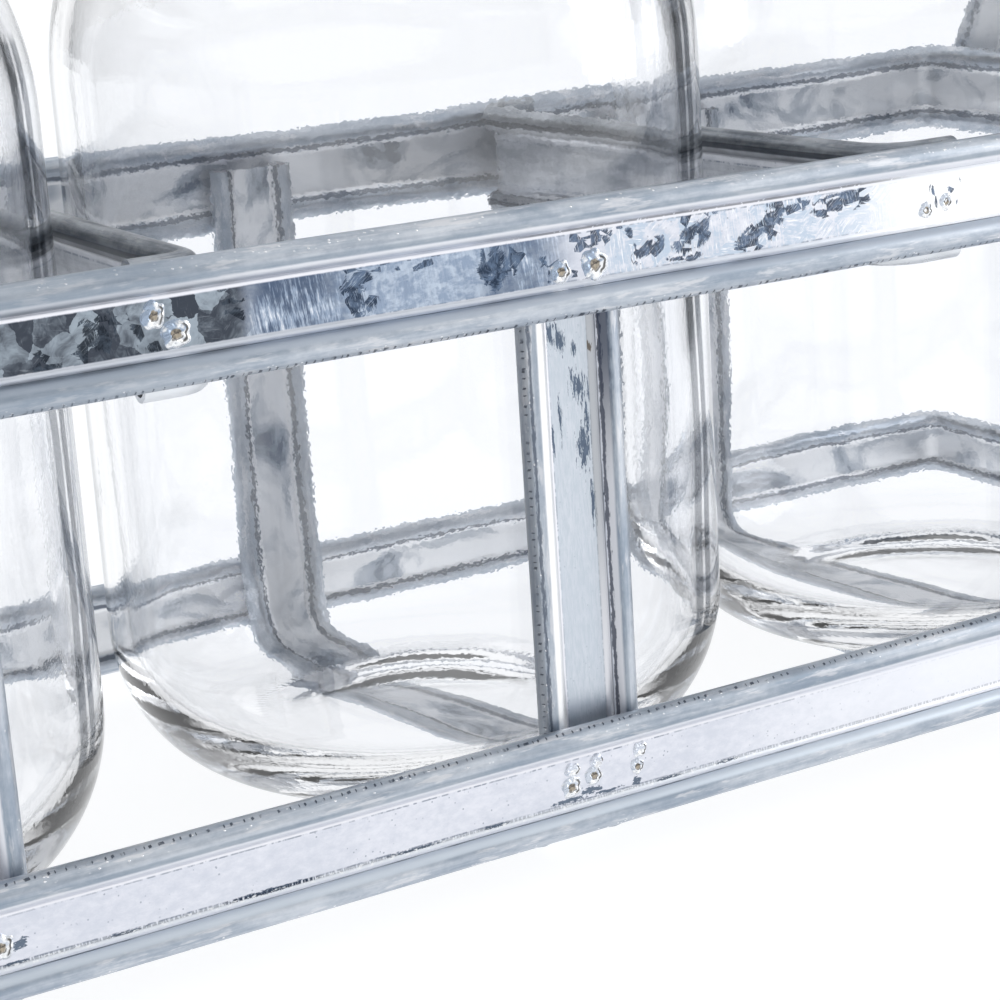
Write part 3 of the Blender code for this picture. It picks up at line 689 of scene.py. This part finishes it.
def place_on(along, across, origin):
    """Matrix that lays a strip's path along one direction and its width along another."""
    along = Vector(along)
    across = Vector(across)
    turn = Matrix((along, across.cross(along), across)).transposed().to_4x4()
    return Matrix.Translation(origin) @ turn


def wobble(seed, u, across):
    """How far the metal stands off its true shape at a spot: out, and across the strip."""
    slow = noise.noise(Vector((u * 22, across * 30, seed)))
    quick = noise.noise(Vector((u * 90, across * 60, seed + 7.3)))
    return 0.00010 * slow + 0.00005 * quick, 0.00009 * noise.noise(Vector((u * 35, seed, 4.1)))


def linked(name, work, material):
    """A new object in the scene from a bmesh, which is used up."""
    mesh = bpy.data.meshes.new(name)
    work.to_mesh(mesh)
    work.free()
    mesh.materials.append(material)
    obj = bpy.data.objects.new(name, mesh)
    bpy.context.scene.collection.objects.link(obj)
    return obj


def sweep(name, path, place, material, seed, hoop=False, cuts=(), width=STRIP_WIDTH):
    """The strip along a path with its rolls on the right, as a closed mesh with u and v in metres.

    A hoop's path ends where it starts. Each cut is a height and the side that goes: 1 above it, -1 below it.
    """
    section = strip_section(width)
    count = len(path)
    if hoop:
        path = path[:-1]
        count -= 1
    work = bmesh.new()
    layer = work.loops.layers.uv.new("UVMap")
    rings = []
    lengths = []
    length = 0.0
    for index, point in enumerate(path):
        before = path[index - 1] if hoop or index else point
        after = path[(index + 1) % count] if hoop or index < count - 1 else point
        if index:
            length += (point - path[index - 1]).length
        lengths.append(length)
        arrive = (point - before).normalized() if (point - before).length else (after - point).normalized()
        leave = (after - point).normalized() if (after - point).length else arrive
        middle = (arrive + leave).normalized()
        right = Vector((middle.y, -middle.x)) / max(0.2, middle.dot(arrive))
        ring = []
        for out, across, _ in section:
            shift, slide = wobble(seed, length, across)
            spot = point + right * (out + shift)
            ring.append(work.verts.new((spot.x, spot.y, across + slide)))
        rings.append(ring)
    size = len(section)
    total = length + (path[0] - path[-1]).length
    for index in range(count if hoop else count - 1):
        one, two = rings[index], rings[(index + 1) % count]
        us = (lengths[index], lengths[index + 1] if index + 1 < count else total)
        for k in range(size):
            m = (k + 1) % size
            face = work.faces.new((one[k], one[m], two[m], two[k]))
            face.smooth = True
            for loop, (a, b) in zip(face.loops, ((0, k), (0, m), (1, m), (1, k))):
                loop[layer].uv = (us[a] + seed * APART, section[b][2])
    if not hoop:
        for ring, u in ((rings[0], 0.0), (rings[-1], length)):
            face = work.faces.new(ring)
            for loop, spot in zip(face.loops, section):
                loop[layer].uv = (u + seed * APART + spot[0], spot[1])
    bmesh.ops.transform(work, matrix=place, verts=work.verts)
    for height, side in cuts:
        found = bmesh.ops.bisect_plane(work, geom=work.verts[:] + work.edges[:] + work.faces[:],
                                       plane_co=(0, 0, height), plane_no=(0, 0, side), clear_outer=True)
        edges = [item for item in found["geom_cut"] if isinstance(item, bmesh.types.BMEdge)]
        bmesh.ops.edgenet_fill(work, edges=edges)
    bmesh.ops.recalc_face_normals(work, faces=work.faces)
    obj = linked(name, work, material)
    obj.data.set_sharp_from_angle(angle=SHARP)
    return obj


def stand_for(obj, node, body="caddy_frame"):
    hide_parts(node)
    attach(obj, body)


# Caddy

zinc = zinc_material("zinc_strip")
zinc_dull = zinc_material("zinc_divider", tab_marks, dull=0.75)
zinc_upper = zinc_material("zinc_upper_band", upper_marks, -1, 0.0117, 0.0004,
                           low_curl=(0.43, 0.48, 0.555), low_fillet=(0.66, 0.70, 0.77))
zinc_lower = zinc_material("zinc_lower_band", lower_marks, 1,
                           low_curl=(0.60, 0.66, 0.73), low_fillet=(0.80, 0.84, 0.90))
zinc_post = zinc_material("zinc_middle_strap", post_marks)
zinc_leg = zinc_material("zinc_leg", leg_marks)

joint = (0, BAND_Y)
corners = [joint, (-BAND_X, BAND_Y), (-BAND_X, -BAND_Y), (BAND_X, -BAND_Y), (BAND_X, BAND_Y), joint]
path = rounded_path(corners, BAND_BEND, 6)
for name, z, material, seed in (("upper_band", UPPER_BAND_Z, zinc_upper, 1.0),
                                ("lower_band", LOWER_BAND_Z, zinc_lower, 2.0)):
    band = sweep(name + "_strip", path, place_on((1, 0, 0), (0, 0, 1), (0, 0, z)), material, seed, hoop=True)
    stand_for(band, name)

corners = [(-STRAP_Y, STRAP_TOP), (-STRAP_Y, STRAP_Z), (STRAP_Y, STRAP_Z), (STRAP_Y, STRAP_TOP)]
path = rounded_path(corners, STRAP_BEND, 10)
for seed, (name, x) in enumerate(zip(("strap_left", "strap_middle", "strap_right"), STRAP_XS), 3):
    material = zinc_post if name == "strap_middle" else zinc
    strap = sweep(name + "_strip", path, place_on((0, 1, 0), (1, 0, 0), (x, 0, 0)), material, seed)
    stand_for(strap, name)

for name, side, skew, seed in (("divider_left", -1, 0.0, 6.0), ("divider_right", 1, DIVIDER_SKEW, 7.0)):
    seat = CREST if side > 0 else SKIN
    y = BAND_Y - SKIN - SEAT_GAP - seat
    tab = side * DIVIDER_TAB
    corners = [(tab - skew, y), (-skew, y), (skew, -y), (tab + skew, -y)]
    path = rounded_path(corners, DIVIDER_BEND, 6)
    place = place_on((1, 0, 0), (0, 0, 1), (side * DIVIDER_X + DIVIDER_SHIFT, 0, DIVIDER_Z))
    stand_for(sweep(name + "_strip", path, place, zinc_dull, seed, width=DIVIDER_WIDTH), name)

# A leg's strip runs past both of its cuts
LEG_RUN = (-0.045, 0.085)
seed = 8.0
for end_name, end in (("left", -1), ("right", 1)):
    for side_name, side in (("front", -1), ("back", 1)):
        name = f"handle_{end_name}_{side_name}_leg"
        lean = (0, -side * math.sin(TILT), math.cos(TILT))
        across = Vector((0, math.cos(TILT), side * math.sin(TILT))) * -end
        place = place_on(lean, across, (end * LEG_X, side * LEG_FOOT_Y, UPPER_BAND_TOP))
        path = rounded_path([(LEG_RUN[0], 0), (LEG_RUN[1], 0)])
        leg = sweep(name + "_strip", path, place, zinc_leg, seed,
                    cuts=((UPPER_BAND_TOP - LEG_LAP, -1), (LEG_TOP, 1)))
        stand_for(leg, name)
        seed += 1
    name = f"handle_{end_name}_grip"
    half = LEG_FOOT_Y + STRIP_WIDTH / 2 / math.cos(TILT) - HANDLE_RISE * math.tan(TILT)
    path = rounded_path([(-half, 0), (half, 0)])
    place = place_on((0, end, 0), (0, 0, 1), (end * GRIP_X, 0, GRIP_Z))
    stand_for(sweep(name + "_strip", path, place, zinc, seed), name)
    seed += 1


# Weld marks

# A bead's cross-section, as shares of its radius and heights in millimetres, and how deep its foot is sunk
BEAD = ((0.08, 0.03), (0.18, 0.04), (0.26, 0.08), (0.34, 0.18), (0.42, 0.25), (0.52, 0.28), (0.62, 0.27),
        (0.72, 0.25), (0.80, 0.20), (0.87, 0.14), (0.94, 0.07), (1.0, 0.0))
SUNK = 0.0001
PIT = 0.33


def weld_mark(name, x, z, size, seed, material):
    """A pressed spot on the front of a band: a raised ragged bead round a dish with a pit."""
    work = bmesh.new()
    layer = work.loops.layers.uv.new("UVMap")
    rings = []
    spots = {}
    steps = 60
    centre = work.verts.new((0, 0, 0.00003))
    spots[centre] = (0.0, 0.0)
    for radius, height in BEAD:
        ring = []
        for k in range(steps):
            angle = math.tau * k / steps
            aim = Vector((math.cos(angle), math.sin(angle), 0))
            ragged = noise.noise(aim * radius * 3.2 + Vector((seed, 0, 0)))
            reach = radius * (1 + 0.30 * noise.noise(aim * 1.4 + Vector((seed * 3, 0, 5))))
            lift = height * MM * (1 + 1.1 * ragged)
            vert = work.verts.new((aim.x * reach * size[0] * MM, aim.y * reach * size[1] * MM,
                                   max(lift, 0.0) + 0.000005))
            spots[vert] = (aim.x * radius, aim.y * radius)
            ring.append(vert)
        rings.append(ring)
    base = []
    for vert in rings[-1]:
        under = work.verts.new((vert.co.x, vert.co.y, -SUNK))
        spots[under] = spots[vert]
        base.append(under)
    rings.append(base)
    for k in range(steps):
        m = (k + 1) % steps
        work.faces.new((centre, rings[0][k], rings[0][m]))
        for one, two in zip(rings, rings[1:]):
            work.faces.new((one[k], two[k], two[m], one[m]))
    work.faces.new(rings[-1][::-1])
    bmesh.ops.recalc_face_normals(work, faces=work.faces)
    for face in work.faces:
        face.smooth = True
        for loop in face.loops:
            loop[layer].uv = spots[loop.vert]
    obj = linked(name, work, material)
    upright = Matrix.Rotation(math.radians(90), 4, "X")
    obj.matrix_world = Matrix.Translation((x, -(BAND_Y + WEB_INSET + SKIN), z)) @ upright
    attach(obj, "caddy_frame")


# Each mark's x, height over the band's middle and half sizes in millimetres; a bare one has no pit
WELDS_UPPER = ((-68.3, 1.5, 1.9, 2.1), (-65.3, -1.5, 2.3, 2.2), (-2.5, -1.8, 1.8, 1.9), (3.5, -1.5, 2.3, 2.5),
               (67.8, -1.7, 1.4, 1.5), (72.1, -0.8, 1.3, 1.5), (-105.4, -1.0, 2.0, 2.2),
               (-100.9, 1.0, 2.0, 2.1), (99.2, -1.4, 1.9, 2.0), (103.6, 0.2, 1.6, 1.7))
WELDS_LOWER = ((-100.4, -0.8, 2.1, 2.1), (-5.9, -0.9, 1.8, 1.9), (-1.6, 0.1, 1.6, 1.7),
               (6.6, -0.4, 1.25, 1.4), (98.1, -0.8, 1.9, 2.0), (102.4, 0.3, 1.7, 1.8))
BARE_LOWER = ((-5.5, 1.9, 1.5, 1.2), (-0.9, 2.3, 1.3, 1.1), (7.2, 2.2, 1.2, 1.3), (-104.0, 1.2, 1.4, 1.2))
weld = weld_material("weld_mark", PIT, (0.36, 0.44, 0.56))
pale = weld_material("weld_pale", PIT, (0.66, 0.71, 0.79))
bare = weld_material("weld_bead", 0.0, (0.70, 0.74, 0.82))
for label, height, found, material in (("upper", UPPER_BAND_Z, WELDS_UPPER, weld),
                                       ("lower", LOWER_BAND_Z, WELDS_LOWER, pale),
                                       ("bead", LOWER_BAND_Z, BARE_LOWER, bare)):
    for index, (x, dz, half_x, half_z) in enumerate(found, 1):
        weld_mark(f"weld_{label}_{index}", x * MM, height + dz * MM, (half_x, half_z),
                  index * 1.7 + len(label), pale if label == "upper" and x > 60 else material)


# Jars

def arc(centre, radii, start, end, steps):
    """Points on an ellipse's arc between two angles in degrees."""
    points = []
    for step in range(steps + 1):
        angle = math.radians(start + (end - start) * step / steps)
        points.append(Vector((centre[0] + radii[0] * math.cos(angle),
                              centre[1] + radii[1] * math.sin(angle))))
    return points


def jar_profile():
    """Half section of a jar as (point, inside), from inside its floor over the rim to under its base."""
    radius, wall, neck, fillet_r, shoulder_r, rim_r = 0.0542, 0.0034, 0.038, 0.008, 0.050, 0.0032
    heel_x, heel_z, floor, body_z, top_z, punt = 0.0225, 0.0265, 0.0072, 0.120, 0.170, 0.0022
    shoulder = Vector((radius - shoulder_r, body_z))
    run = neck + fillet_r - shoulder.x
    rise = math.sqrt((shoulder_r + fillet_r) ** 2 - run ** 2)
    slope = math.degrees(math.atan2(rise, run))
    fillet = shoulder + Vector((run, rise))
    heel = Vector((radius - heel_x, heel_z))
    rim = Vector((neck - wall + rim_r, top_z - rim_r))
    tuck = math.degrees(math.acos((neck - rim.x) / rim_r))
    straight = body_z - heel_z
    inner = [Vector((0, floor)), Vector((0.008, floor - 0.0001)), Vector((0.016, floor - 0.0001)),
             Vector((0.024, floor))]
    inner += arc(heel, (heel_x - wall, heel_z - floor), -90, 0, 16)
    inner += [Vector((radius - wall, heel_z + straight * k / 22)) for k in range(1, 22)]
    inner += arc(shoulder, (shoulder_r - wall,) * 2, 0, slope, 12)
    inner += arc(fillet, (fillet_r + wall,) * 2, 180 + slope, 180, 5)[1:]
    outer = arc(rim, (rim_r,) * 2, 180, -tuck, 14)
    outer += arc(fillet, (fillet_r,) * 2, 180, 180 + slope, 5)
    outer += arc(shoulder, (shoulder_r,) * 2, slope, 0, 14)[1:]
    outer += [Vector((radius, heel_z + straight * k / 20)) for k in range(19, 0, -1)]
    outer += arc(heel, (heel_x, heel_z), 0, -90, 18)
    outer += [Vector((heel.x - 0.005, 0)), Vector((heel.x - 0.007, 0.0007)), Vector((0.016, 0.0016)),
              Vector((0.008, punt - 0.0001)), Vector((0, punt))]
    return [(point, True) for point in inner] + [(point, False) for point in outer]


def jar(name, node, body, x, seed, material):
    """A round jar, turned from its profile, with its inside a little uneven up to the neck."""
    work = bmesh.new()
    steps, neck_z, floor_z, axis_x = 144, 0.150, 0.020, 1e-6
    rings = []
    for point, inside in jar_profile():
        if point.x < axis_x:
            rings.append(work.verts.new((0, 0, point.y)))
            continue
        ring = []
        for k in range(steps):
            angle = math.tau * k / steps
            spot = Vector((math.cos(angle), math.sin(angle), 0)) * point.x
            shift = 0.0
            if inside and point.y < neck_z:
                place = Vector((spot.x, spot.y, point.y))
                shift = 0.00022 * noise.noise(place * 30 + Vector((seed, 0, 0)))
                shift += 0.00004 * noise.noise(place * 90 + Vector((0, seed, 0)))
            scale = (point.x + shift) / point.x
            lift = shift if inside and point.y < floor_z else 0.0
            ring.append(work.verts.new((spot.x * scale, spot.y * scale, point.y + lift)))
        rings.append(ring)
    for one, two in zip(rings, rings[1:]):
        for k in range(steps):
            m = (k + 1) % steps
            if isinstance(one, bmesh.types.BMVert):
                work.faces.new((one, two[m], two[k]))
            elif isinstance(two, bmesh.types.BMVert):
                work.faces.new((one[k], one[m], two))
            else:
                work.faces.new((one[k], one[m], two[m], two[k]))
    for face in work.faces:
        face.smooth = True
    bmesh.ops.recalc_face_normals(work, faces=work.faces)
    obj = linked(name, work, material)
    obj.location = (x, JAR_Y, JAR_Z)
    stand_for(obj, node, body)


glass = glass_material()
for side, x, seed in (("left", JAR_XS[0], 11.0), ("middle", JAR_XS[1], 23.0), ("right", JAR_XS[2], 37.0)):
    jar(f"glass_jar_{side}", f"jar_{side}", f"{side}_jar", x, seed, glass)


# Camera, floor and light

# The camera as fitted to the photograph, in metres and degrees
CAMERA_AT = (-0.1971, -0.3820, 0.1631)
AZIMUTH, DOWN, ROLL = 29.63, 15.19, -3.67


def look(location, azimuth, down, roll):
    """Camera matrix: azimuth from +Y towards +X, degrees down, and roll, all in degrees."""
    th, ph, ro = (math.radians(value) for value in (azimuth, down, roll))
    ahead = Vector((math.sin(th) * math.cos(ph), math.cos(th) * math.cos(ph), -math.sin(ph)))
    right = Vector((math.cos(th), -math.sin(th), 0))
    up = right.cross(ahead)
    tilted = math.cos(ro) * right + math.sin(ro) * up
    raised = -math.sin(ro) * right + math.cos(ro) * up
    turn = Matrix((tilted, raised, -ahead)).transposed().to_4x4()
    return Matrix.Translation(location) @ turn


camera_data = bpy.data.cameras.new("camera")
camera_data.lens = 90.67
camera_data.sensor_width = 36.0
camera_data.clip_start = 0.01
camera = bpy.data.objects.new("camera", camera_data)
bpy.context.scene.collection.objects.link(camera)
camera.matrix_world = look(CAMERA_AT, AZIMUTH, DOWN, ROLL)
bpy.context.scene.camera = camera

# A glowing white floor. Far off to the right it is dark to all rays but the camera's own, and the jars' walls
# bend that dark into lines. It starts beyond a line through EDGE_FROM, and EDGE_ACROSS points across that.
FLOOR_HALF = 4
FLOOR_GLOW, FLOOR_DARK = 0.93, 0.05
EDGE_FROM = (-0.197, -0.382)
EDGE_ACROSS = (0.719, -0.695)
floor_mesh = bpy.data.meshes.new("floor")
floor_mesh.from_pydata([(-FLOOR_HALF, -FLOOR_HALF, 0), (FLOOR_HALF, -FLOOR_HALF, 0),
                        (FLOOR_HALF, FLOOR_HALF, 0), (-FLOOR_HALF, FLOOR_HALF, 0)], [], [(0, 1, 2, 3)])
floor = bpy.data.objects.new("floor", floor_mesh)
bpy.context.scene.collection.objects.link(floor)
floor_material = bpy.data.materials.new("floor")
n = Nodes(floor_material)
x, y, _ = n.split(n.object)
aside = n.add(n.mul(n.add(x, -EDGE_FROM[0]), EDGE_ACROSS[0]), n.mul(n.add(y, -EDGE_FROM[1]), EDGE_ACROSS[1]))
beyond = n.mul(n.mul(n.ramp(aside, 0.02, 0.10), n.ramp(x, 0.32, 0.42)), n.ramp(y, -0.10, 0.05))
seen = n.new("ShaderNodeLightPath").outputs["Is Camera Ray"]
glow = n.most(n.ramp(beyond, 0.0, 1.0, FLOOR_GLOW, FLOOR_DARK), n.mul(seen, FLOOR_GLOW))
n.finish(Base_Color=(0.16, 0.165, 0.17), Roughness=0.9, Specular_IOR_Level=0.0,
         Emission_Color=(0.975, 0.985, 1.0), Emission_Strength=glow)
floor_mesh.materials.append(floor_material)

# A lit backdrop ahead of the camera, a light at the right, above and behind it, and a dark room otherwise;
# the camera itself sees white all round
AIM = math.radians(29.6)
world = bpy.data.worlds.new("studio")
bpy.context.scene.world = world
n = Nodes(world)
dx, dy, dz = n.split(n.generated)
ahead = n.add(n.mul(dx, math.sin(AIM)), n.mul(dy, math.cos(AIM)))
right = n.add(n.mul(dx, math.cos(AIM)), n.mul(dy, -math.sin(AIM)))
spread = n.math("DIVIDE", right, n.most(ahead, 0.01))
backdrop = n.mul(n.ramp(spread, 0.29, 0.40, 1.0, 0.0), n.ramp(spread, -1.15, -0.85))
flank = n.mul(n.ramp(right, 0.80, 0.90), n.ramp(ahead, -0.50, -0.36))
top = n.ramp(dz, 0.36, 0.62)
front = n.ramp(n.mul(ahead, -1.0), 0.25, 0.60, 0.08, 0.72)
level = n.most(n.most(backdrop, n.mul(flank, 0.95)), n.most(n.mul(top, 0.95), front))
camera_ray = n.new("ShaderNodeLightPath").outputs["Is Camera Ray"]
strength = n.most(level, camera_ray)
background = n.new("ShaderNodeBackground")
background.inputs["Color"].default_value = (0.985, 0.992, 1.0, 1.0)
n.put(background.inputs["Strength"], strength)
output = n.new("ShaderNodeOutputWorld")
n.put(output.inputs[0], background.outputs[0])

LAMP_AT = Vector((0.95, -0.55, 0.35))
LAMP_AIM = Vector((0.05, -0.06, 0.06))
lamp_data = bpy.data.lights.new("light_right", "AREA")
lamp_data.shape = "RECTANGLE"
lamp_data.size, lamp_data.size_y = 0.5, 0.7
lamp_data.energy = 3.0
lamp = bpy.data.objects.new("light_right", lamp_data)
bpy.context.scene.collection.objects.link(lamp)
lamp.location = LAMP_AT
lamp.rotation_euler = (LAMP_AIM - LAMP_AT).to_track_quat("-Z", "Y").to_euler()

bpy.context.scene.view_settings.view_transform = "Standard"
# Light bounces many times inside a jar's thick floor, also off its inner sides
paths = bpy.context.scene.cycles
paths.max_bounces, paths.glossy_bounces, paths.transmission_bounces = 36, 30, 32
